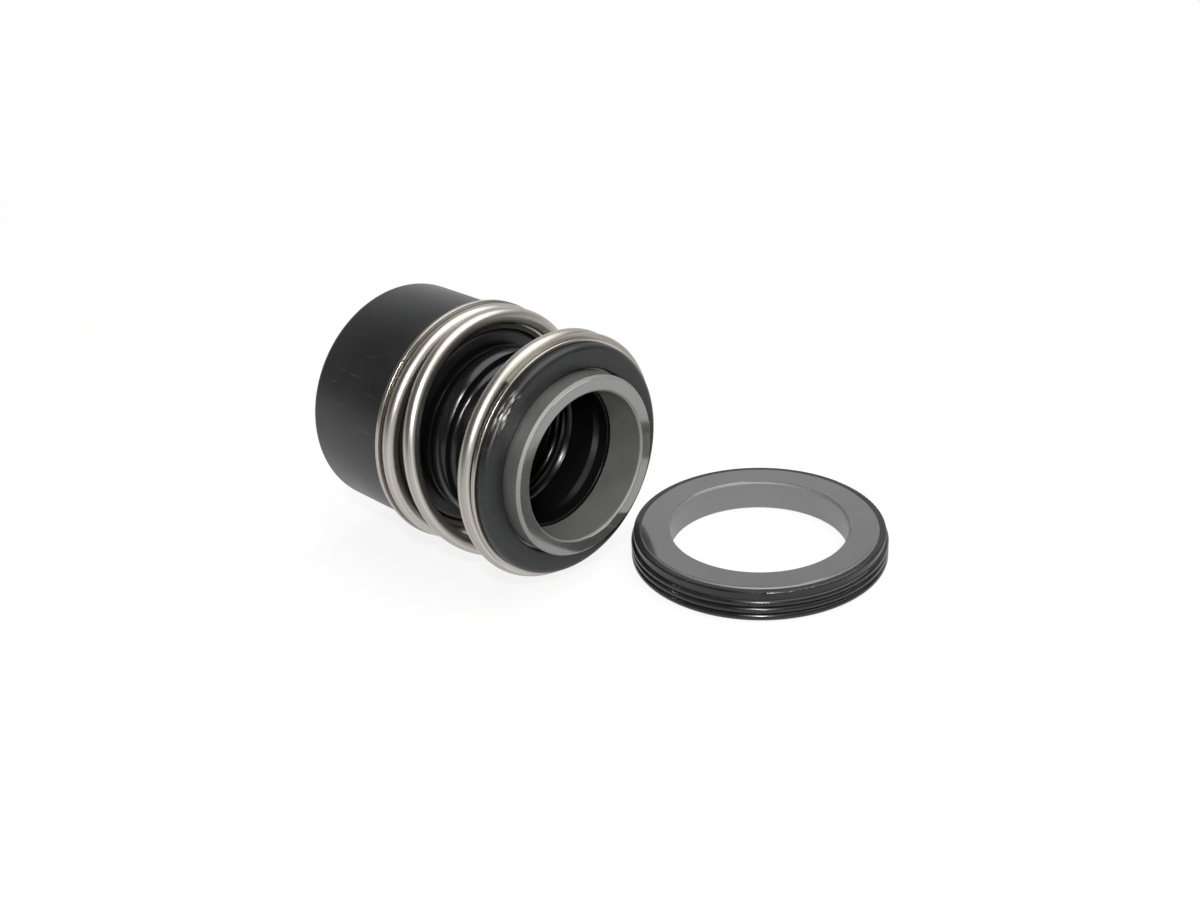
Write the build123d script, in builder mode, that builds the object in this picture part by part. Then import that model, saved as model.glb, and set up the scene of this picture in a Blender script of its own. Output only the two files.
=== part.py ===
from build123d import *
from math import cos, radians, sin
import os

# Elastomer-bellows mechanical seal for a 25 mm shaft: a rotary head lying on its side, and the
# stationary seat that it runs against lying flat beside it. Millimetres.
# The rotary head turns about the X axis: x = 0 is the end face of its tail, and the sealing
# face looks along +X. The axis of the seat is vertical. Both halves stand on one table.

# ---- Shaft and fits ------------------------------------------------------------------------------
SHAFT_D = 25.0            # the rubber tail grips the shaft at this diameter
PIECE_CLEARANCE = 0.15    # radial room between pieces pushed into each other

# ---- Rotating sealing ring -------------------------------------------------------------------------
RING_CLEARANCE = 0.75     # radial room between the shaft and the ring
NOSE_WALL = 2.75          # width of the lapped face
NOSE_HEIGHT = 3.2         # how far the nose stands out of the rubber
NOSE_CHAMFER = 0.5
RING_STEP = 0.6           # the seated part is this much larger in radius than the nose
RING_STEP_DEPTH = 1.3     # how far behind the front of the lip the step is
RING_CHAMFER = 0.3

# ---- Spring collars: pressed sheet rings with an L section -----------------------------------------
SHEET = 0.8
SLEEVE_LENGTH = 4.8       # from the outer face of the flange to the end of the sleeve
TAIL_RIM_COVER = 0.25     # how far the rim of the tail flange stands out past the spring
HEAD_RIM_DROP = 0.9       # how far the rim of the head flange stays inside the spring
COLLAR_BEND = 0.5         # rounding where the flange turns into the sleeve
RIM_EDGE = 0.2            # rounding of the flange's rim

# ---- Spring: one right-hand coil of round wire, closed and ground flat at the head -----------------
WIRE_D = 2.8
COIL_CLEARANCE = 0.3      # radial room between a sleeve and the coils round it
SPRING_LENGTH = 22.9      # free length between the two flanges
SPRING_TURNS = 3.194
CLOSED_TURNS = 1.15       # turns at the head that lie against each other
CLOSED_GAP = 0.1          # between turns that lie against each other
TIP_THICKNESS = 0.5       # what the grinding leaves of the wire at its tip
TAIL_CLOSED_TURNS = 1.17  # turns at the tail that lie against each other
DEAD_TURNS = 0.77         # those of them that lie flat on the tail flange
CUT_ANGLE = 33.0          # where the tip is, in degrees left of the top as the face is seen
BEND_TURNS = 0.08         # half the length of the bend between two pitches
POINTS_PER_TURN = 24

# ---- Bellows: one rubber moulding ------------------------------------------------------------------
WALL = 1.2                # wall of the neck, the fold and the pocket
NECK_CLEARANCE = 0.2      # radial room between the shaft and the neck
NECK_FOOT = 0.6           # hollow rounding where the neck meets each shoulder
TAIL_LENGTH = 19.9
TAIL_DROP = 1.25          # the tail is this much smaller in radius than its collar
TAIL_EDGE = 1.2           # rounding of the tail's outer edge
FOLD_PLACE = 3.9          # centre of the fold, ahead of the end of the tail sleeve
FOLD_RADIUS = 2.6         # outside radius of the fold's crest
FOLD_RISE = 1.9           # how far the crest stands above the neck
FOLD_FOOT = 1.2           # hollow rounding at each foot of the fold
SHOULDER_EDGE = 1.0       # rounding of the rubber where it leaves a sleeve
POCKET_DEPTH = 2.8        # from the front of the head flange back to the floor of the pocket
LIP_LENGTH = 1.9          # rubber ahead of the head flange
LIP_DROP = 0.6            # the lip is this much smaller in radius than its collar
LIP_EDGE = 1.1
LIP_GAP = 0.35            # radial gap between the lip and the nose of the sealing ring

# ---- Seat ring and its rubber cup --------------------------------------------------------------------
SEAT_CLEARANCE = 3.35     # radial room between the shaft and the seat ring
SEAT_WALL = 5.35          # width of the lapped face
SEAT_THICKNESS = 5.6
SEAT_CHAMFER = 0.35
CUP_WALL = 1.1
CUP_DROP = 0.2            # the rim of the cup is this much below the lapped face
CUP_FLOOR = 1.2           # rubber under the rim of the seat ring
CUP_FLOOR_BAND = 3.0      # width of that rubber
CUP_EDGE = 0.3
RIB_COUNT = 3
RIB_PITCH = 1.32
RIB_START = 0.7           # height of the lowest rib
RIB_RADIUS = 0.62
RIB_RISE = 0.5            # how far a rib stands out of the wall
SEAT_TUCK = 3.5           # the seat reaches back this far beside the lip of the head
SEAT_GAP = 0.85           # between the ribs of the seat and the front of that lip

# ---- Radii from the shaft outwards -------------------------------------------------------------------
SHAFT_R = SHAFT_D / 2
NECK_BORE_R = SHAFT_R + NECK_CLEARANCE
NECK_R = NECK_BORE_R + WALL
FOLD_CENTRE_R = NECK_R + FOLD_RISE - FOLD_RADIUS
RING_BORE_R = SHAFT_R + RING_CLEARANCE
NOSE_R = RING_BORE_R + NOSE_WALL
RING_R = NOSE_R + RING_STEP
POCKET_R = RING_R + PIECE_CLEARANCE
SEATED_R = POCKET_R + WALL                                # rubber inside a sleeve
SLEEVE_BORE_R = SEATED_R + PIECE_CLEARANCE
SLEEVE_R = SLEEVE_BORE_R + SHEET
COIL_R = SLEEVE_R + COIL_CLEARANCE + WIRE_D / 2
TAIL_RIM_R = COIL_R + WIRE_D / 2 + TAIL_RIM_COVER
HEAD_RIM_R = COIL_R + WIRE_D / 2 - HEAD_RIM_DROP
TAIL_R = TAIL_RIM_R - TAIL_DROP
LIP_R = HEAD_RIM_R - LIP_DROP
SEAT_BORE_R = SHAFT_R + SEAT_CLEARANCE
SEAT_R = SEAT_BORE_R + SEAT_WALL
CUP_R = SEAT_R + CUP_WALL
RIB_R = CUP_R + RIB_RISE
CUP_FLOOR_R = SEAT_R - CUP_FLOOR_BAND

# ---- Places along the shaft axis ---------------------------------------------------------------------
TAIL_SLEEVE_X = TAIL_LENGTH + SLEEVE_LENGTH
FOLD_X = TAIL_SLEEVE_X + FOLD_PLACE
HEAD_FLANGE_X = TAIL_LENGTH + 2 * SHEET + SPRING_LENGTH   # front face of the head flange
GROUND_X = HEAD_FLANGE_X - SHEET                          # the ground end of the spring bears here
HEAD_SLEEVE_X = HEAD_FLANGE_X - SLEEVE_LENGTH
POCKET_X = HEAD_FLANGE_X - POCKET_DEPTH
LIP_X = HEAD_FLANGE_X + LIP_LENGTH
RING_STEP_X = LIP_X - RING_STEP_DEPTH
FACE_X = LIP_X + NOSE_HEIGHT

# ---- The table, and the seat on it -------------------------------------------------------------------
TABLE_Z = -TAIL_RIM_R                                     # the rim of the tail collar rests on the table
LIP_HALF_WIDTH = (LIP_R**2 - (TAIL_RIM_R - SEAT_THICKNESS) ** 2) ** 0.5   # at the height of the seat
SEAT_X = LIP_X + RIB_R - SEAT_TUCK
SEAT_Y = LIP_HALF_WIDTH + ((RIB_R + SEAT_GAP) ** 2 - (RIB_R - SEAT_TUCK) ** 2) ** 0.5

os.makedirs("parts", exist_ok=True)


def corner(outline, x, y):
    """The vertex of a sketch nearest to a point of its plane."""
    return outline.vertices().sort_by_distance((x, y, 0))[0]


# ---- Bellows: tail collar, fold, neck and head pocket in one piece of rubber ---------------------------
with BuildPart() as bellows:
    fold_half_foot = (FOLD_RADIUS**2 - (NECK_R - FOLD_CENTRE_R) ** 2) ** 0.5
    fold_bore_radius = FOLD_RADIUS - WALL
    with BuildSketch(Plane.XZ) as outside:
        with BuildLine():
            Polyline(
                (0, 0),
                (0, TAIL_R),
                (TAIL_LENGTH, TAIL_R),
                (TAIL_LENGTH, SEATED_R),
                (TAIL_SLEEVE_X, SEATED_R),
                (TAIL_SLEEVE_X, NECK_R),
                (HEAD_SLEEVE_X, NECK_R),
                (HEAD_SLEEVE_X, SEATED_R),
                (HEAD_FLANGE_X, SEATED_R),
                (HEAD_FLANGE_X, LIP_R),
                (LIP_X, LIP_R),
                (LIP_X, 0),
                close=True,
            )
        make_face()
        with Locations((FOLD_X, FOLD_CENTRE_R)):
            Circle(FOLD_RADIUS)
        fillet(corner(outside, 0, TAIL_R), TAIL_EDGE)
        fillet(corner(outside, LIP_X, LIP_R), LIP_EDGE)
        fillet(corner(outside, TAIL_SLEEVE_X, SEATED_R), SHOULDER_EDGE)
        fillet(corner(outside, HEAD_SLEEVE_X, SEATED_R), SHOULDER_EDGE)
        fillet(corner(outside, TAIL_SLEEVE_X, NECK_R), NECK_FOOT)
        fillet(corner(outside, HEAD_SLEEVE_X, NECK_R), NECK_FOOT)
        fillet(corner(outside, FOLD_X - fold_half_foot, NECK_R), FOLD_FOOT)
        fillet(corner(outside, FOLD_X + fold_half_foot, NECK_R), FOLD_FOOT)
    revolve(axis=Axis.X)
    with BuildSketch(Plane.XZ) as bore:
        with BuildLine():
            Polyline(
                (0, 0),
                (0, SHAFT_R),
                (TAIL_SLEEVE_X, SHAFT_R),
                (TAIL_SLEEVE_X, NECK_BORE_R),
                (POCKET_X, NECK_BORE_R),
                (POCKET_X, POCKET_R),
                (RING_STEP_X + PIECE_CLEARANCE, POCKET_R),
                (RING_STEP_X + PIECE_CLEARANCE, NOSE_R + LIP_GAP),
                (LIP_X, NOSE_R + LIP_GAP),
                (LIP_X, 0),
                close=True,
            )
        make_face()
        with Locations((FOLD_X, FOLD_CENTRE_R)):
            Circle(fold_bore_radius)
    revolve(axis=Axis.X, mode=Mode.SUBTRACT)
bellows.part.label = "bellows"


def spring_collar(outer_x, direction, rim_r):
    """Pressed L ring: flange with its outer face at outer_x, sleeve under the spring."""
    flange_inner_x = outer_x + direction * SHEET
    sleeve_end_x = outer_x + direction * SLEEVE_LENGTH
    with BuildPart() as collar:
        with BuildSketch(Plane.XZ) as section:
            with BuildLine():
                Polyline(
                    (outer_x, SLEEVE_BORE_R),
                    (outer_x, rim_r),
                    (flange_inner_x, rim_r),
                    (flange_inner_x, SLEEVE_R),
                    (sleeve_end_x, SLEEVE_R),
                    (sleeve_end_x, SLEEVE_BORE_R),
                    close=True,
                )
            make_face()
            fillet(corner(section, outer_x, SLEEVE_BORE_R), COLLAR_BEND)
            fillet(corner(section, outer_x, rim_r), RIM_EDGE)
            fillet(corner(section, flange_inner_x, rim_r), RIM_EDGE)
        revolve(axis=Axis.X)
    return collar.part


tail_spring_collar = spring_collar(TAIL_LENGTH, 1, TAIL_RIM_R)
tail_spring_collar.label = "tail_spring_collar"
head_spring_collar = spring_collar(HEAD_FLANGE_X, -1, HEAD_RIM_R)
head_spring_collar.label = "head_spring_collar"


# ---- Spring --------------------------------------------------------------------------------------------
CLOSED_PITCH = WIRE_D + CLOSED_GAP
OPEN_TO = SPRING_TURNS - TAIL_CLOSED_TURNS
LANDING_FROM = SPRING_TURNS - 1 + BEND_TURNS              # past the wire's end, the coil may drop
DEAD_FROM = SPRING_TURNS - DEAD_TURNS
OPEN_RISE = SPRING_LENGTH - TIP_THICKNESS - CLOSED_PITCH * (CLOSED_TURNS + 1)
OPEN_PITCH = OPEN_RISE / (OPEN_TO - CLOSED_TURNS)
LANDING_PITCH = CLOSED_PITCH / (DEAD_FROM - LANDING_FROM)


def soft_ramp(turn, start):
    """Turns past the start, bent gently away from zero on either side of it."""
    past = turn - start
    if abs(past) < BEND_TURNS:
        return (past + BEND_TURNS) ** 2 / (4 * BEND_TURNS)
    return max(past, 0)


def wire_drop(turn):
    """How far the wire lies behind the head flange's inner face, after so many turns from its tip."""
    closed = CLOSED_PITCH * (turn - soft_ramp(turn, CLOSED_TURNS))
    opened = OPEN_PITCH * (soft_ramp(turn, CLOSED_TURNS) - soft_ramp(turn, OPEN_TO))
    landed = LANDING_PITCH * (soft_ramp(turn, LANDING_FROM) - soft_ramp(turn, DEAD_FROM))
    return TIP_THICKNESS - WIRE_D + closed + opened + landed


def wire_point(turn):
    """Centre of the wire: clockwise as seen from the sealing face, and away from it."""
    angle = radians(360 * turn - CUT_ANGLE)
    x = GROUND_X - WIRE_D / 2 - wire_drop(turn)
    return (x, COIL_R * sin(angle), COIL_R * cos(angle))


with BuildPart() as spring:
    steps = round(SPRING_TURNS * POINTS_PER_TURN)
    with BuildLine() as wire:
        Spline([wire_point(SPRING_TURNS * step / steps) for step in range(steps + 1)])
    with BuildSketch(Plane(origin=wire.line @ 0, z_dir=wire.line % 0)):
        Circle(WIRE_D / 2)
    sweep(path=wire.line, is_frenet=True)
    split(bisect_by=Plane(origin=(GROUND_X, 0, 0), z_dir=(-1, 0, 0)))
spring.part.label = "spring"

# ---- Rotating sealing ring -----------------------------------------------------------------------------
with BuildPart() as face_ring:
    with BuildSketch(Plane.XZ) as section:
        with BuildLine():
            Polyline(
                (POCKET_X, RING_BORE_R),
                (POCKET_X, RING_R),
                (RING_STEP_X, RING_R),
                (RING_STEP_X, NOSE_R),
                (FACE_X, NOSE_R),
                (FACE_X, RING_BORE_R),
                close=True,
            )
        make_face()
        chamfer(corner(section, FACE_X, NOSE_R), NOSE_CHAMFER)
        chamfer(corner(section, FACE_X, RING_BORE_R), RING_CHAMFER)
        chamfer(corner(section, POCKET_X, RING_BORE_R), RING_CHAMFER)
        chamfer(corner(section, POCKET_X, RING_R), RING_CHAMFER)
    revolve(axis=Axis.X)
face_ring.part.label = "face_ring"

# ---- Stationary seat: a ring pushed into a ribbed rubber cup ---------------------------------------------
seat_section = Plane(origin=(SEAT_X, SEAT_Y, TABLE_Z), x_dir=(1, 0, 0), z_dir=(0, -1, 0))
seat_axis = Axis((SEAT_X, SEAT_Y, TABLE_Z), (0, 0, 1))

with BuildPart() as seat_ring:
    with BuildSketch(seat_section) as section:
        with BuildLine():
            Polyline(
                (SEAT_BORE_R, 0),
                (CUP_FLOOR_R, 0),
                (CUP_FLOOR_R, CUP_FLOOR),
                (SEAT_R, CUP_FLOOR),
                (SEAT_R, SEAT_THICKNESS),
                (SEAT_BORE_R, SEAT_THICKNESS),
                close=True,
            )
        make_face()
        chamfer(corner(section, SEAT_BORE_R, 0), SEAT_CHAMFER)
        chamfer(corner(section, SEAT_BORE_R, SEAT_THICKNESS), SEAT_CHAMFER)
        chamfer(corner(section, SEAT_R, SEAT_THICKNESS), SEAT_CHAMFER)
    revolve(axis=seat_axis)
seat_ring.part.label = "seat_ring"

with BuildPart() as seat_cup:
    rim_z = SEAT_THICKNESS - CUP_DROP
    with BuildSketch(seat_section) as section:
        with BuildLine():
            Polyline(
                (CUP_FLOOR_R, 0),
                (CUP_R, 0),
                (CUP_R, rim_z),
                (SEAT_R, rim_z),
                (SEAT_R, CUP_FLOOR),
                (CUP_FLOOR_R, CUP_FLOOR),
                close=True,
            )
        make_face()
        fillet(corner(section, CUP_R, rim_z), CUP_EDGE)
        for rib in range(RIB_COUNT):
            with Locations((RIB_R - RIB_RADIUS, RIB_START + rib * RIB_PITCH)):
                Circle(RIB_RADIUS)
    revolve(axis=seat_axis)
seat_cup.part.label = "seat_cup"

for piece in (
    bellows.part,
    tail_spring_collar,
    head_spring_collar,
    spring.part,
    face_ring.part,
    seat_ring.part,
    seat_cup.part,
):
    export_step(piece, f"parts/{piece.label}.step")
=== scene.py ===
import math

import bmesh
import bpy
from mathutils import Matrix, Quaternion, Vector


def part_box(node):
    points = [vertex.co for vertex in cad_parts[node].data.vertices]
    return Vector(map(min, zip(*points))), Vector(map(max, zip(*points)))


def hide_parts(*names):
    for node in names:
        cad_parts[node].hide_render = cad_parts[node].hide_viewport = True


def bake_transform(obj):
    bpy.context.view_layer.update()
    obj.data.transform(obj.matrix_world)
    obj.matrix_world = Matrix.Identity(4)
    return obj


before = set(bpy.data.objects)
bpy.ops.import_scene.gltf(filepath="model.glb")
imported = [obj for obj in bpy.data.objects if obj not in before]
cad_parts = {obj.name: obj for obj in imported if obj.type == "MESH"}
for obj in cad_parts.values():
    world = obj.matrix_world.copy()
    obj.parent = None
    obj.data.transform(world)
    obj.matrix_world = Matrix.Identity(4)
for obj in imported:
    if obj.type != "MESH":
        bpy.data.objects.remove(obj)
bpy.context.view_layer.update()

# Elastomer-bellows mechanical seal: a rotary head lying on its side, and its stationary seat lying
# flat beside it. The head turns about the X axis, x = 0 is the end face of its tail, and the seat's
# axis is vertical. Sizes are in millimetres and become metres where Blender is given them.
MM = 0.001
SEGMENTS = 288            # steps round a turned piece
ARC_STEPS = 7             # steps in a rounded corner
CREST_STEPS = 28          # steps round the crest of a fold

# ---- Sizes inside the pieces, as in the part's source --------------------------------------------
SHAFT_R = 12.5
WALL = 1.2                # of the neck and the fold
NECK_BORE_R = 12.7
NECK_R = 13.9
NECK_FOOT = 0.6           # hollow rounding where the neck meets each shoulder
FOLD_PLACE = 3.9          # centre of the fold, ahead of the tail sleeve
FOLD_RADIUS = 2.6
FOLD_CENTRE_R = 13.2
FOLD_FOOT = 1.2           # hollow rounding at each foot of the fold
SEATED_R = 17.95          # rubber inside a spring collar's sleeve
SHOULDER_EDGE = 1.0       # rounding of the rubber where it leaves a sleeve
TAIL_EDGE = 1.2
LIP_R = 20.5
LIP_EDGE = 1.1
LIP_INNER_R = 16.35
LIP_STEP_DEPTH = 1.15     # from the front of the lip back to the step that keeps the ring in
POCKET_R = 16.75
RING_BORE_R = 13.25
NOSE_CHAMFER = 0.5        # of the sealing ring's lapped face
SEAT_BORE_R = 15.85
SEAT_CHAMFER = 0.35       # of the seat ring's lapped face
WIRE_D = 2.8
COIL_R = 20.6
SPRING_TURNS = 3.194
CLOSED_TURNS = 1.15       # turns at the head that lie against each other
CLOSED_GAP = 0.1          # between turns that lie against each other
TIP_THICKNESS = 0.5       # what the grinding leaves of the wire at its tip
TAIL_CLOSED_TURNS = 1.17  # turns at the tail that lie against each other
DEAD_TURNS = 0.77         # those of them that lie flat on the tail collar
BEND_TURNS = 0.08         # half the length of the bend between two pitches
CUT_ANGLE = 33.0          # where the tip is, in degrees left of the top as the face is seen

# ---- Sizes that only the visual pieces have ------------------------------------------------------
TAIL_BORE_EDGE = 0.5
TAIL_FRONT_EDGE = 0.35    # where the tail meets its flange
LIP_BACK_EDGE = 0.3       # where the lip meets its flange
LIP_INNER_EDGE = 0.35
FOLD_BORE_FOOT = 0.4      # rounding at each foot of the fold, in the bore
BEAD_R = 12.55            # rounded bead in the bore, where the fold ends
BEAD_PLACES = (2.75, 3.25, 3.6)   # corners of its front, ahead of the fold's centre
BEAD_EDGES = (0.6, 3.0, 0.4)      # roundings of those corners
RELIEF_R = 13.27          # the bore between the bead and the ring's seat
RELIEF_FRONT = 4.0        # its front end, behind the ring
RELIEF_EDGE = 1.5
BURR = 0.22               # rounding of the wire's two ends

# ---- Sizes that the frame gives ------------------------------------------------------------------
bellows_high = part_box("bellows")[1] / MM
tail_collar_low, tail_collar_high = [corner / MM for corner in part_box("tail_spring_collar")]
head_collar_low, head_collar_high = [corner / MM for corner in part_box("head_spring_collar")]
spring_low, spring_high = [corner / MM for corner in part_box("spring")]
ring_low, ring_high = [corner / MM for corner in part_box("face_ring")]
seat_low, seat_high = [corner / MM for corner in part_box("seat_ring")]
SEAT_CENTRE = (seat_low + seat_high) / 2
TABLE_Z = seat_low.z


# ---- Meshes --------------------------------------------------------------------------------------
def rounded(corners):
    """Points of an outline whose corners (x, r, radius) are rounded off, in order."""
    points = []
    for index, (x, r, radius) in enumerate(corners):
        here = Vector((x, r))
        if not radius:
            points.append(here)
            continue
        before = (Vector(corners[index - 1][:2]) - here).normalized()
        after = (Vector(corners[(index + 1) % len(corners)][:2]) - here).normalized()
        half = before.angle(after) / 2
        centre = here + (before + after).normalized() * radius / math.sin(half)
        start = here + before * radius / math.tan(half) - centre
        sweep = start.angle_signed(here + after * radius / math.tan(half) - centre)
        for step in range(ARC_STEPS + 1):
            turn = -sweep * step / ARC_STEPS
            points.append(centre + Vector((
                start.x * math.cos(turn) - start.y * math.sin(turn),
                start.x * math.sin(turn) + start.y * math.cos(turn))))
    return points


def fold(centre_x, centre_r, radius, base_r, foot):
    """Outline of one fold: a foot rounding, the crest's circle and the other foot, along +x."""
    reach = math.sqrt((radius + foot) ** 2 - (base_r + foot - centre_r) ** 2)
    lean = math.atan2(reach, base_r + foot - centre_r)
    points = []
    for step in range(ARC_STEPS + 1):
        turn = (math.pi - lean) * step / ARC_STEPS
        foot_x = centre_x - reach + foot * math.sin(turn)
        points.append(Vector((foot_x, base_r + foot - foot * math.cos(turn))))
    for step in range(1, CREST_STEPS):
        turn = lean * (2 * step / CREST_STEPS - 1)
        crest_x = centre_x + radius * math.sin(turn)
        points.append(Vector((crest_x, centre_r + radius * math.cos(turn))))
    for point in reversed(points[:ARC_STEPS + 1]):
        points.append(Vector((2 * centre_x - point.x, point.y)))
    return points


def finish_mesh(name, verts, faces, sharp_degrees):
    """A smooth object from points in millimetres, with edges sharper than the angle kept."""
    mesh = bpy.data.meshes.new(name)
    mesh.from_pydata([Vector(v) * MM for v in verts], [], faces)
    shaped = bmesh.new()
    shaped.from_mesh(mesh)
    bmesh.ops.recalc_face_normals(shaped, faces=shaped.faces)
    shaped.to_mesh(mesh)
    shaped.free()
    mesh.shade_smooth()
    mesh.set_sharp_from_angle(angle=math.radians(sharp_degrees))
    piece = bpy.data.objects.new(name, mesh)
    bpy.context.scene.collection.objects.link(piece)
    return piece


def turned(name, outline, sharp_degrees=35):
    """A closed outline of (x, r) points turned about the X axis."""
    verts = []
    for step in range(SEGMENTS):
        turn = 2 * math.pi * step / SEGMENTS
        verts += [(x, r * math.sin(turn), r * math.cos(turn)) for x, r in outline]
    count = len(outline)
    faces = []
    for step in range(SEGMENTS):
        here, there = step * count, (step + 1) % SEGMENTS * count
        for index in range(count):
            following = (index + 1) % count
            faces.append((here + index, here + following, there + following, there + index))
    return finish_mesh(name, verts, faces, sharp_degrees)


# ---- Bellows: one rubber moulding ----------------------------------------------------------------
def bellows_outline():
    """Its section, from the tail's bore along the outside to the lip and back through the bore."""
    tail_x = tail_collar_low.x
    tail_sleeve_x = tail_collar_high.x
    head_sleeve_x = head_collar_low.x
    fold_x = tail_sleeve_x + FOLD_PLACE
    outside = [
        (0, SHAFT_R, TAIL_BORE_EDGE),
        (0, bellows_high.z, TAIL_EDGE),
        (tail_x, bellows_high.z, TAIL_FRONT_EDGE),
        (tail_x, SEATED_R, 0),
        (tail_sleeve_x, SEATED_R, SHOULDER_EDGE),
        (tail_sleeve_x, NECK_R, NECK_FOOT),
    ]
    ahead = [
        (head_sleeve_x, NECK_R, NECK_FOOT),
        (head_sleeve_x, SEATED_R, SHOULDER_EDGE),
        (head_collar_high.x, SEATED_R, 0),
        (head_collar_high.x, LIP_R, LIP_BACK_EDGE),
        (bellows_high.x, LIP_R, LIP_EDGE),
        (bellows_high.x, LIP_INNER_R, LIP_INNER_EDGE),
        (bellows_high.x - LIP_STEP_DEPTH, LIP_INNER_R, 0),
        (bellows_high.x - LIP_STEP_DEPTH, POCKET_R, 0),
        (ring_low.x, POCKET_R, 0),
        (ring_low.x, NECK_BORE_R, 0),
        (ring_low.x - RELIEF_FRONT / 2, NECK_BORE_R, RELIEF_EDGE),
        (ring_low.x - RELIEF_FRONT, RELIEF_R, RELIEF_EDGE),
    ]
    last = len(BEAD_PLACES) - 1
    for step in range(last, -1, -1):
        corner_r = BEAD_R + (RELIEF_R - BEAD_R) * step / last
        ahead.append((fold_x + BEAD_PLACES[step], corner_r, BEAD_EDGES[step]))
    inside = [
        (tail_sleeve_x, NECK_BORE_R, 0),
        (tail_sleeve_x, SHAFT_R, 0),
    ]
    # The points at fold_x are neighbours for the corners that end each part, and are left out again.
    first_part = rounded(outside + [(fold_x, NECK_R, 0)])[:-1]
    outer_fold = fold(fold_x, FOLD_CENTRE_R, FOLD_RADIUS, NECK_R, FOLD_FOOT)
    ahead_part = rounded([(fold_x, NECK_R, 0)] + ahead + [(fold_x, BEAD_R, 0)])[1:-1]
    inner_fold = fold(fold_x, FOLD_CENTRE_R, FOLD_RADIUS - WALL, NECK_BORE_R, FOLD_BORE_FOOT)
    return first_part + outer_fold + ahead_part + inner_fold[::-1] + [Vector(p[:2]) for p in inside]


def make_bellows():
    """The moulding, whose neck and fold lie between the two collars."""
    piece = turned("bellows_moulding", bellows_outline())
    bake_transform(piece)
    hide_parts("bellows")
    return piece


# ---- Spring --------------------------------------------------------------------------------------
RING_STEPS = 32           # points round the wire
STEPS_PER_TURN = 96
NEARBY_TURNS = 0.001      # to either side of a point, for the wire's direction there
CLOSED_PITCH = WIRE_D + CLOSED_GAP
OPEN_TO = SPRING_TURNS - TAIL_CLOSED_TURNS
LANDING_FROM = SPRING_TURNS - 1 + BEND_TURNS
DEAD_FROM = SPRING_TURNS - DEAD_TURNS
OPEN_RISE = spring_high.x - spring_low.x - TIP_THICKNESS - CLOSED_PITCH * (CLOSED_TURNS + 1)
OPEN_PITCH = OPEN_RISE / (OPEN_TO - CLOSED_TURNS)
LANDING_PITCH = CLOSED_PITCH / (DEAD_FROM - LANDING_FROM)


def soft_ramp(turn, start):
    """Turns past the start, bent gently away from zero on either side of it."""
    past = turn - start
    if abs(past) < BEND_TURNS:
        return (past + BEND_TURNS) ** 2 / (4 * BEND_TURNS)
    return max(past, 0)


def wire_point(turn):
    """Centre of the wire after so many turns from its tip at the head."""
    closed = CLOSED_PITCH * (turn - soft_ramp(turn, CLOSED_TURNS))
    opened = OPEN_PITCH * (soft_ramp(turn, CLOSED_TURNS) - soft_ramp(turn, OPEN_TO))
    landed = LANDING_PITCH * (soft_ramp(turn, LANDING_FROM) - soft_ramp(turn, DEAD_FROM))
    x = spring_high.x + WIRE_D / 2 - TIP_THICKNESS - closed - opened - landed
    angle = math.radians(360 * turn - CUT_ANGLE)
    return Vector((x, COIL_R * math.sin(angle), COIL_R * math.cos(angle)))


def make_spring():
    """The coil as a tube, ground flat where it would pass the head collar's flange.

    Each ring of points is first set at the wire's centre, then moved out to its surface."""
    steps = round(SPRING_TURNS * STEPS_PER_TURN)
    burr_turns = BURR / (2 * math.pi * COIL_R)
    stations = [(0, WIRE_D / 2 - BURR), (burr_turns, WIRE_D / 2)]
    stations += [(SPRING_TURNS * step / steps, WIRE_D / 2) for step in range(1, steps)]
    stations += [(SPRING_TURNS - burr_turns, WIRE_D / 2), (SPRING_TURNS, WIRE_D / 2 - BURR)]
    verts, centres, coords = [], [], []
    for turn, radius in stations:
        centre = wire_point(turn)
        along = (wire_point(turn + NEARBY_TURNS) - wire_point(turn - NEARBY_TURNS)).normalized()
        out = Vector((0, centre.y, centre.z)).normalized()
        ahead = along.cross(out).normalized()
        out = ahead.cross(along)
        room = (spring_high.x - centre.x) / (radius * ahead.x)
        first = max(math.acos(min(room, 1)), math.pi / RING_STEPS)
        for step in range(RING_STEPS):
            around = first + 2 * (math.pi - first) * step / (RING_STEPS - 1)
            verts.append(centre + (ahead * math.cos(around) + out * math.sin(around)) * radius)
            centres.append(Vector((min(centre.x, spring_high.x), centre.y, centre.z)))
            coords.append((turn * 2 * math.pi * COIL_R * MM, math.cos(around), math.sin(around)))
    faces = []
    for station in range(len(stations) - 1):
        here, there = station * RING_STEPS, (station + 1) * RING_STEPS
        for step in range(RING_STEPS):
            following = (step + 1) % RING_STEPS
            faces.append((here + step, here + following, there + following, there + step))
    faces.append(tuple(range(RING_STEPS)))
    faces.append(tuple(range(len(verts) - RING_STEPS, len(verts))))
    piece = finish_mesh("spring_wire", verts, faces, sharp_degrees=40)
    wire = piece.data.attributes.new("wire", "FLOAT_VECTOR", "POINT")
    wire.data.foreach_set("vector", [value for coord in coords for value in coord])
    # Set at the wire's centre while the transform is applied, and only then moved out to its surface.
    points = piece.data.vertices
    points.foreach_set("co", [value * MM for centre in centres for value in centre])
    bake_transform(piece)
    points.foreach_set("co", [value * MM for vert in verts for value in vert])
    piece.data.update()
    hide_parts("spring")
    return piece


# ---- Shader nodes --------------------------------------------------------------------------------
def add(tree, kind, inputs=None, **settings):
    """A new node. An input, by name or number, is a value or another node's output."""
    made = tree.nodes.new(kind)
    for key, value in settings.items():
        setattr(made, key, value)
    for key, value in (inputs or {}).items():
        if isinstance(value, bpy.types.NodeSocket):
            tree.links.new(value, made.inputs[key])
        else:
            made.inputs[key].default_value = value
    return made


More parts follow.
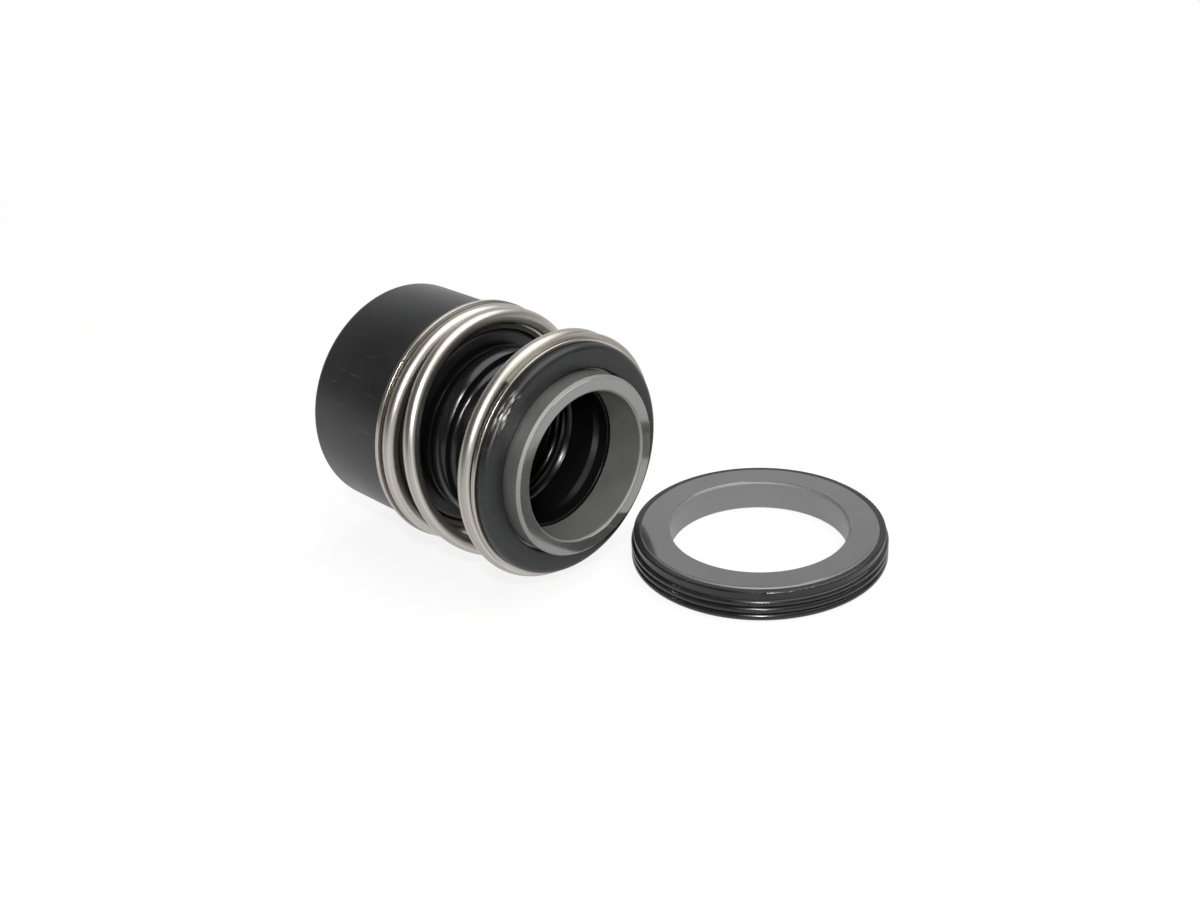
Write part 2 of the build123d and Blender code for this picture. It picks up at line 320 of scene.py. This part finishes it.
def new_material(name, sockets):
    """A material, its node tree and its shader, some of whose own sockets are set."""
    made = bpy.data.materials.new(name)
    made.use_nodes = True
    shader = made.node_tree.nodes["Principled BSDF"]
    for key, value in sockets.items():
        shader.inputs[key].default_value = value
    return made, made.node_tree, shader


def give(piece, made):
    """Makes a material the only one of a piece."""
    piece.data.materials.clear()
    piece.data.materials.append(made)


def math_node(tree, operation, first, second=0.0, third=0.0):
    return add(tree, "ShaderNodeMath", {0: first, 1: second, 2: third}, operation=operation).outputs[0]


def spread(tree, value, from_low, from_high, to_low=0.0, to_high=1.0):
    """A value's range mapped to another one, whose ends it never passes."""
    return add(tree, "ShaderNodeMapRange", {
        "Value": value, "From Min": from_low, "From Max": from_high,
        "To Min": to_low, "To Max": to_high}).outputs["Result"]


def between(tree, length, start, end):
    """0 to 1 as a length, in metres, goes from start to end, in millimetres."""
    return spread(tree, length, start * MM, end * MM)


def noise(tree, vector, scale, detail=3.0, roughness=0.5):
    """Noise from 0 to 1. Its scale is per metre where the vector is a place."""
    return add(tree, "ShaderNodeTexNoise", {
        "Vector": vector, "Scale": scale, "Detail": detail, "Roughness": roughness}).outputs[0]


def mixed_colours(tree, share, first, second):
    """From the first colour to the second. Each is three numbers or another node's output."""
    mix = add(tree, "ShaderNodeMix", data_type="RGBA")
    for name, value in (("Factor_Float", share), ("A_Color", first), ("B_Color", second)):
        socket = next(s for s in mix.inputs if s.identifier == name)
        if isinstance(value, bpy.types.NodeSocket):
            tree.links.new(value, socket)
        else:
            socket.default_value = (*value, 1)
    return next(s for s in mix.outputs if s.identifier == "Result_Color")


def bump(tree, shader, pattern, height, strength):
    """A pattern raised on the surface, so many millimetres high."""
    made = add(tree, "ShaderNodeBump", {"Height": pattern, "Distance": height * MM, "Strength": strength})
    tree.links.new(made.outputs[0], shader.inputs["Normal"])


def round_axis(tree, upright):
    """(along, radius, angle) about the head's axis, or about the seat's upright one."""
    place = add(tree, "ShaderNodeTexCoord").outputs["Object"]
    centre = (SEAT_CENTRE.x * MM, SEAT_CENTRE.y * MM, 0) if upright else (0, 0, 0)
    moved = add(tree, "ShaderNodeVectorMath", {0: place, 1: centre}, operation="SUBTRACT").outputs[0]
    x, y, z = add(tree, "ShaderNodeSeparateXYZ", {0: moved}).outputs
    along, first, second = (z, x, y) if upright else (x, y, z)
    squares = math_node(tree, "MULTIPLY_ADD", first, first, math_node(tree, "MULTIPLY", second, second))
    return along, math_node(tree, "SQRT", squares), math_node(tree, "ARCTAN2", first, second)


def stretched(tree, along, radius, angle, across_scale, around_scale):
    """Coordinates that are fine across an axis's circles and long round them."""
    parts = {0: math_node(tree, "MULTIPLY", along, across_scale),
             1: math_node(tree, "MULTIPLY", radius, across_scale),
             2: math_node(tree, "MULTIPLY", angle, around_scale)}
    return add(tree, "ShaderNodeCombineXYZ", parts).outputs[0]


# ---- Stainless steel: pressed collars and drawn wire ---------------------------------------------
STEEL_DARK = (0.33, 0.31, 0.28)
STEEL_LIGHT = (0.58, 0.56, 0.52)
STEEL_PAINTED_SHADE = (0.08, 0.074, 0.065)   # painted shade, dark and brownish: on the collars' sleeves between the coils, and at the wire's tip
BROAD_SHARE = 0.6         # of the light and dark lines, the rest are fine ones
LINES_ROUGHER = 0.14      # how far the roughness varies
# how much rougher the steel is where its painted shade is
SHADED_ROUGHER = 0.3
LINE_HEIGHT = 0.01
SHEET_GRAIN = 5000.0      # fineness of the rolling lines, in head_coords
SHEET_ROUGHNESS = 0.22
WIRE_GRAIN = 8.0          # fineness of the drawing lines, in wire_coords
WIRE_ROUGHNESS = 0.3
WIRE_STRETCH = (0.6, 1.0, 1.0)    # of wire_coords, along the wire and across it
ROUND_SCALE = 0.0002      # of head_coords, round the axis, so that the lines are long that way
SLEEVE_SHADED = 0.9       # outward from the rubber in a sleeve: all painted shade up to here
SLEEVE_UNSHADED = 1.6       # and none from here
TIP_SHADED = 0.3          # along the wire from its tip: all painted shade up to here
TIP_UNSHADED = 0.7          # and none from here


def head_coords(tree):
    """Coordinates of lines that run round the head's axis."""
    return stretched(tree, *round_axis(tree, False), 1.0, ROUND_SCALE)


def wire_place(tree):
    """Where a point is on the wire: the length from the tip, and the direction from its centre."""
    return add(tree, "ShaderNodeAttribute", attribute_name="wire").outputs["Vector"]


def wire_coords(tree):
    """Coordinates of lines that run along the wire."""
    return add(tree, "ShaderNodeVectorMath", {0: wire_place(tree), 1: WIRE_STRETCH},
               operation="MULTIPLY").outputs[0]


def tip_painted_shade(tree):
    """How much painted shade the wire has, dark and rougher: only at its cut tip, a dark line at the step
    there.
    """
    length = add(tree, "ShaderNodeSeparateXYZ", {0: wire_place(tree)}).outputs[0]
    return between(tree, length, TIP_UNSHADED, TIP_SHADED)


def sleeve_painted_shade(tree):
    """How much painted shade a collar has, dark and rougher: only in and on its sleeve, inside the
    spring, between the coils.
    """
    radius = round_axis(tree, False)[1]
    return between(tree, radius, SEATED_R + SLEEVE_UNSHADED, SEATED_R + SLEEVE_SHADED)


def steel(name, coords, grain, roughness, painted_shade_share):
    """Bright steel whose drawing or rolling lines run as the coordinates do, painted dark as shade and
    made rougher where the shade share says.
    """
    made, tree, shader = new_material(name, {"Metallic": 1.0})
    vector = coords(tree)
    broad = noise(tree, vector, grain / 4, detail=2.0)
    fine = noise(tree, vector, grain, detail=4.0, roughness=0.6)
    both = math_node(tree, "MULTIPLY_ADD", broad, BROAD_SHARE,
                     math_node(tree, "MULTIPLY", fine, 1 - BROAD_SHARE))
    clean = mixed_colours(tree, spread(tree, both, 0.4, 0.6), STEEL_DARK, STEEL_LIGHT)
    # Painted shade: dark steel on the collars' sleeves and at the wire's tip.
    painted_shade = painted_shade_share(tree)
    tree.links.new(mixed_colours(tree, painted_shade, clean, STEEL_PAINTED_SHADE), shader.inputs["Base Color"])
    rough = spread(tree, fine, 0.3, 0.7, roughness, roughness + LINES_ROUGHER)
    tree.links.new(math_node(tree, "MULTIPLY_ADD", painted_shade, SHADED_ROUGHER, rough),
                   shader.inputs["Roughness"])
    bump(tree, shader, fine, LINE_HEIGHT, 0.5)
    return made


# ---- Black rubber: the bellows and the seat's cup ------------------------------------------------
RUBBER_IOR = 1.45
# painted shade: the rubber of the neck and the bore is painted darker than outside
INNER_PAINTED_SHADE = (0.003, 0.003, 0.0032)
OUTER_BLACKS = (0.0065, 0.0068, 0.0071), (0.0105, 0.011, 0.0115)
CUP_BLACKS = (0.007, 0.007, 0.0075), (0.012, 0.012, 0.0125)
SCUFF_COLOUR = (0.07, 0.08, 0.09)
# painted highlight on the lip's edge, where the key light's highlight falls
LIP_HIGHLIGHT_COLOUR = (0.5, 0.48, 0.45)
OUTER_FROM = 15.5         # radius inside which the rubber is smooth and painted darker as shade, as in the neck and the bore
OUTER_TO = 16.5           # radius outside which it is satin and scuffed
OUTER_ROUGHER = 0.16
SCUFF_SCALES = (140.0, 900.0, 2600.0)     # long along the head, fine across it
SCUFF_SHARE = 0.5
SCUFF_ROUGHER = 0.12
LIP_HIGHLIGHT_ANGLE = 44.0         # middle of the painted highlight on the lip's edge, where the key light's highlight falls, in degrees left of the top
LIP_HIGHLIGHT_REACH = (0.08, 0.2)  # it fades out between these angles to either side, in radians
LIP_HIGHLIGHT_SCALES = (2600.0, 9.0)       # of its noise, which breaks it up, across the axis's circles and round them
LIP_HIGHLIGHT_BEHIND = 0.4         # it fades in over this length, up to where the lip's edge is rounded
LIP_HIGHLIGHT_RISE = (-0.1, 0.2)   # and between these heights over the inner end of that rounding
GRAIN_HEIGHT = 0.02
CUP_GRAIN_HEIGHT = 0.01


def lip_painted_highlight(tree, along, radius, angle):
    """Share of the painted highlight on the edge of the lip, beside the wire's tip, where the key light's
    highlight falls.
    """
    off_middle = math_node(tree, "ABSOLUTE", math_node(tree, "ADD", angle, math.radians(LIP_HIGHLIGHT_ANGLE)))
    at_highlight_angle = spread(tree, off_middle, *LIP_HIGHLIGHT_REACH, 1.0, 0.0)
    edge_x = bellows_high.x - LIP_EDGE
    edge_r = LIP_R - LIP_EDGE
    on_edge = math_node(tree, "MULTIPLY", between(tree, along, edge_x - LIP_HIGHLIGHT_BEHIND, edge_x),
                        between(tree, radius, edge_r + LIP_HIGHLIGHT_RISE[0], edge_r + LIP_HIGHLIGHT_RISE[1]))
    broken_up = noise(tree, stretched(tree, along, radius, angle, *LIP_HIGHLIGHT_SCALES), 1.0, roughness=0.6)
    return math_node(tree, "MULTIPLY", math_node(tree, "MULTIPLY", at_highlight_angle, on_edge),
                     spread(tree, broken_up, 0.5, 0.62))


def moulded_rubber():
    """The bellows: satin and scuffed where hands and tools reach, glossier in its neck and bore and
    painted darker there as shade, with a painted highlight on the lip's edge.
    """
    made, tree, shader = new_material("moulded_rubber", {"IOR": RUBBER_IOR})
    place = add(tree, "ShaderNodeTexCoord").outputs["Object"]
    along, radius, angle = round_axis(tree, False)
    outer = between(tree, radius, OUTER_FROM, OUTER_TO)
    cloud = noise(tree, place, 90.0)
    cloudy = mixed_colours(tree, spread(tree, cloud, 0.35, 0.65), *OUTER_BLACKS)
    # Painted shade: the neck and the bore are darker than the outside.
    base = mixed_colours(tree, outer, INNER_PAINTED_SHADE, cloudy)
    scuff_place = add(tree, "ShaderNodeMapping", {"Vector": place, "Scale": SCUFF_SCALES}).outputs[0]
    scuffs = spread(tree, noise(tree, scuff_place, 1.0, detail=2.0, roughness=0.6), 0.66, 0.76)
    worn = math_node(tree, "MULTIPLY", scuffs, outer)
    scuffed = mixed_colours(tree, math_node(tree, "MULTIPLY", worn, SCUFF_SHARE), base, SCUFF_COLOUR)
    # Painted highlight: pale broken marks on the lip's edge, where the key light's highlight falls.
    highlighted = mixed_colours(tree, lip_painted_highlight(tree, along, radius, angle), scuffed, LIP_HIGHLIGHT_COLOUR)
    tree.links.new(highlighted, shader.inputs["Base Color"])
    smooth = spread(tree, cloud, 0.3, 0.7, 0.2, 0.27)
    satin = math_node(tree, "MULTIPLY_ADD", outer, OUTER_ROUGHER, smooth)
    tree.links.new(math_node(tree, "MULTIPLY_ADD", worn, SCUFF_ROUGHER, satin),
                   shader.inputs["Roughness"])
    bump(tree, shader, noise(tree, place, 2600.0, detail=2.0), GRAIN_HEIGHT, 0.4)
    return made


def cup_rubber():
    """The seat's cup: black and clean, with faint clouds in its gloss."""
    made, tree, shader = new_material("cup_rubber", {"IOR": RUBBER_IOR})
    place = add(tree, "ShaderNodeTexCoord").outputs["Object"]
    cloud = noise(tree, place, 160.0)
    tree.links.new(mixed_colours(tree, spread(tree, cloud, 0.35, 0.65), *CUP_BLACKS),
                   shader.inputs["Base Color"])
    tree.links.new(spread(tree, cloud, 0.3, 0.7, 0.18, 0.3), shader.inputs["Roughness"])
    bump(tree, shader, noise(tree, place, 2200.0, detail=2.0), CUP_GRAIN_HEIGHT, 0.3)
    return made


# ---- Silicon carbide: the two lapped rings -------------------------------------------------------
CARBIDE_IOR = 2.65
RING_GREY = (0.05, 0.05, 0.048)
# painted light: the face ring's bore is paler than its outside
RING_BORE_PAINTED_LIGHT = (0.085, 0.086, 0.081)
SEAT_GREY = (0.033, 0.033, 0.036)
# painted shade: the seat's bore is darker than its outside
SEAT_BORE_PAINTED_SHADE = (0.019, 0.019, 0.021)
CLOUD_PALER = 1.3
LAPPED_SMOOTHER = 0.27
CHAMFER_ROUGHER = 0.3
FACE_MARGIN = 0.05        # this close to the face or the bore counts as on it
CHAMFER_MARGIN = 0.02
SPECK_HEIGHT = 0.003


def carbide(name, outer_grey, bore_painted_grey, upright, bore_r, face, chamfer):
    """Grey ceramic: a mirror on its lapped face, satin elsewhere, and of another grey in its bore, which
    is painted light in the face ring and painted shade in the seat.
    """
    made, tree, shader = new_material(name, {"IOR": CARBIDE_IOR})
    along, radius, _ = round_axis(tree, upright)
    place = add(tree, "ShaderNodeTexCoord").outputs["Object"]
    cloud = noise(tree, place, 140.0, detail=4.0)
    in_bore = math_node(tree, "LESS_THAN", radius, (bore_r + FACE_MARGIN) * MM)
    # Painted light and shade: another grey in the bore, paler in the face ring, darker in the seat.
    grey = mixed_colours(tree, in_bore, outer_grey, bore_painted_grey)
    paler_greys = [[CLOUD_PALER * value for value in colour] for colour in (outer_grey, bore_painted_grey)]
    pale = mixed_colours(tree, in_bore, *paler_greys)
    tree.links.new(mixed_colours(tree, spread(tree, cloud, 0.3, 0.7), grey, pale),
                   shader.inputs["Base Color"])
    on_face = math_node(tree, "GREATER_THAN", along, (face - FACE_MARGIN) * MM)
    near_face = math_node(tree, "GREATER_THAN", along, (face - chamfer - CHAMFER_MARGIN) * MM)
    on_chamfer = math_node(tree, "SUBTRACT", near_face, on_face)
    satin = spread(tree, cloud, 0.3, 0.7, 0.34, 0.4)
    lapped = math_node(tree, "MULTIPLY_ADD", on_face, -LAPPED_SMOOTHER, satin)
    tree.links.new(math_node(tree, "MULTIPLY_ADD", on_chamfer, CHAMFER_ROUGHER, lapped),
                   shader.inputs["Roughness"])
    bump(tree, shader, noise(tree, place, 3000.0, detail=2.0), SPECK_HEIGHT, 0.2)
    return made


def dress():
    """Gives every piece its material."""
    collar_steel = steel("pressed_steel", head_coords, SHEET_GRAIN, SHEET_ROUGHNESS, sleeve_painted_shade)
    for node in ("tail_spring_collar", "head_spring_collar"):
        give(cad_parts[node], collar_steel)
    give(spring, steel("drawn_wire", wire_coords, WIRE_GRAIN, WIRE_ROUGHNESS, tip_painted_shade))
    give(bellows, moulded_rubber())
    give(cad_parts["seat_cup"], cup_rubber())
    give(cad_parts["face_ring"], carbide(
        "ring_carbide", RING_GREY, RING_BORE_PAINTED_LIGHT, False, RING_BORE_R, ring_high.x, NOSE_CHAMFER))
    give(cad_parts["seat_ring"], carbide(
        "seat_carbide", SEAT_GREY, SEAT_BORE_PAINTED_SHADE, True, SEAT_BORE_R, seat_high.z, SEAT_CHAMFER))


# ---- Stage: floor, light and camera --------------------------------------------------------------
CAMERA_PLACE = Vector((214.02, -155.25, 117.52)) * MM     # this and the next four fit the photograph
CAMERA_AZIMUTH = math.radians(46.1)
CAMERA_ELEVATION = math.radians(26.84)
CAMERA_ROLL = math.radians(-3.27)
CAMERA_LENS = 45.24
FLOOR_HALF = 4000.0       # half the side of the floor
FLOOR_DROP = 0.02         # under the table's plane
GLOW_SHARES = (0.83, 1.0)         # how much of the floor's white is its own, near and far
GLOW_PLACES = (130.0, 350.0)      # near and far, as distances from the tail's end face
ROOM_WHITE = (0.92, 0.92, 0.92)
ROOM_BROWN = (0.085, 0.075, 0.066)
ROOM_TURN = (-0.75, 0.0)  # where white turns to brown: 1 is the camera's side, -1 is behind the object
LAMP_AIM = (35.0, 0.0, 0.0)       # on the head's axis, inside its neck
LAMP_DISTANCE = 700.0


def toward_camera():
    """The direction in which the camera stands."""
    return Vector((math.sin(CAMERA_AZIMUTH) * math.cos(CAMERA_ELEVATION),
                   -math.cos(CAMERA_AZIMUTH) * math.cos(CAMERA_ELEVATION),
                   math.sin(CAMERA_ELEVATION)))


def make_floor():
    """White, and mostly glowing wherever the camera or a reflection sees it: shadows stay faint."""
    mesh = bpy.data.meshes.new("floor")
    half = FLOOR_HALF * MM
    z = (TABLE_Z - FLOOR_DROP) * MM
    corners = [(-half, -half, z), (half, -half, z), (half, half, z), (-half, half, z)]
    mesh.from_pydata(corners, [], [(0, 1, 2, 3)])
    floor = bpy.data.objects.new("floor", mesh)
    bpy.context.scene.collection.objects.link(floor)
    made, tree, shader = new_material("pale_floor", {"Roughness": 0.7, "Base Color": (0.8, 0.8, 0.8, 1)})
    path = add(tree, "ShaderNodeLightPath").outputs
    seen = math_node(tree, "MAXIMUM", path["Is Camera Ray"],
                     math_node(tree, "MAXIMUM", path["Is Glossy Ray"], path["Is Transmission Ray"]))
    place = add(tree, "ShaderNodeTexCoord").outputs["Object"]
    distance = add(tree, "ShaderNodeVectorMath", {0: place}, operation="LENGTH").outputs["Value"]
    near, far = [reach * MM for reach in GLOW_PLACES]
    share = math_node(tree, "MULTIPLY", seen, spread(tree, distance, near, far, *GLOW_SHARES))
    glow = add(tree, "ShaderNodeEmission", {"Color": (1, 1, 1, 1), "Strength": 1.0}).outputs[0]
    mixed = add(tree, "ShaderNodeMixShader", {0: share, 1: shader.outputs[0], 2: glow}).outputs[0]
    tree.links.new(mixed, tree.nodes["Material Output"].inputs["Surface"])
    give(floor, made)


def make_world():
    """White where the camera sees it. As light and in reflections it is white behind the object, and
    a dark brown room on the camera's side."""
    world = bpy.data.worlds.new("studio")
    bpy.context.scene.world = world
    world.use_nodes = True
    tree = world.node_tree
    direction = add(tree, "ShaderNodeTexCoord").outputs["Generated"]
    facing = add(tree, "ShaderNodeVectorMath", {0: direction, 1: toward_camera()},
                 operation="DOT_PRODUCT").outputs["Value"]
    room = mixed_colours(tree, spread(tree, facing, *ROOM_TURN), ROOM_WHITE, ROOM_BROWN)
    path = add(tree, "ShaderNodeLightPath").outputs
    colour = mixed_colours(tree, path["Is Camera Ray"], room, (1, 1, 1))
    background = tree.nodes["Background"]
    tree.links.new(colour, background.inputs["Color"])
    background.inputs["Strength"].default_value = 1.0


def softbox(name, toward, size, power):
    """A round lamp in a direction from the head, looking at it. Its power is in watts."""
    data = bpy.data.lights.new(name, "AREA")
    data.shape = "DISK"
    data.size = size * MM
    data.energy = power
    lamp = bpy.data.objects.new(name, data)
    bpy.context.scene.collection.objects.link(lamp)
    aim = Vector(LAMP_AIM) * MM
    lamp.location = aim + Vector(toward).normalized() * LAMP_DISTANCE * MM
    lamp.rotation_euler = (aim - lamp.location).to_track_quat("-Z", "Y").to_euler()


def make_lamps():
    """A key light, a small one near the camera for the bore, and a broad one overhead."""
    softbox("key_softbox", (0.482, -0.517, 0.707), 60, 2.5)
    softbox("camera_softbox", (0.623, -0.602, 0.5), 40, 2.6)
    softbox("top_softbox", (0.2, 0.3, 0.93), 900, 6.0)


def make_camera():
    """The photograph's camera, tilted a little about its own line of sight."""
    data = bpy.data.cameras.new("camera")
    data.sensor_width = 36
    data.lens = CAMERA_LENS
    data.clip_start = 0.01
    camera = bpy.data.objects.new("camera", data)
    bpy.context.scene.collection.objects.link(camera)
    camera.location = CAMERA_PLACE
    upright = (-toward_camera()).to_track_quat("-Z", "Y")
    camera.rotation_euler = (upright @ Quaternion((0, 0, 1), CAMERA_ROLL)).to_euler()
    bpy.context.scene.camera = camera


bellows = make_bellows()
spring = make_spring()
dress()
make_floor()
make_world()
make_lamps()
make_camera()
bpy.context.scene.view_settings.view_transform = "Standard"
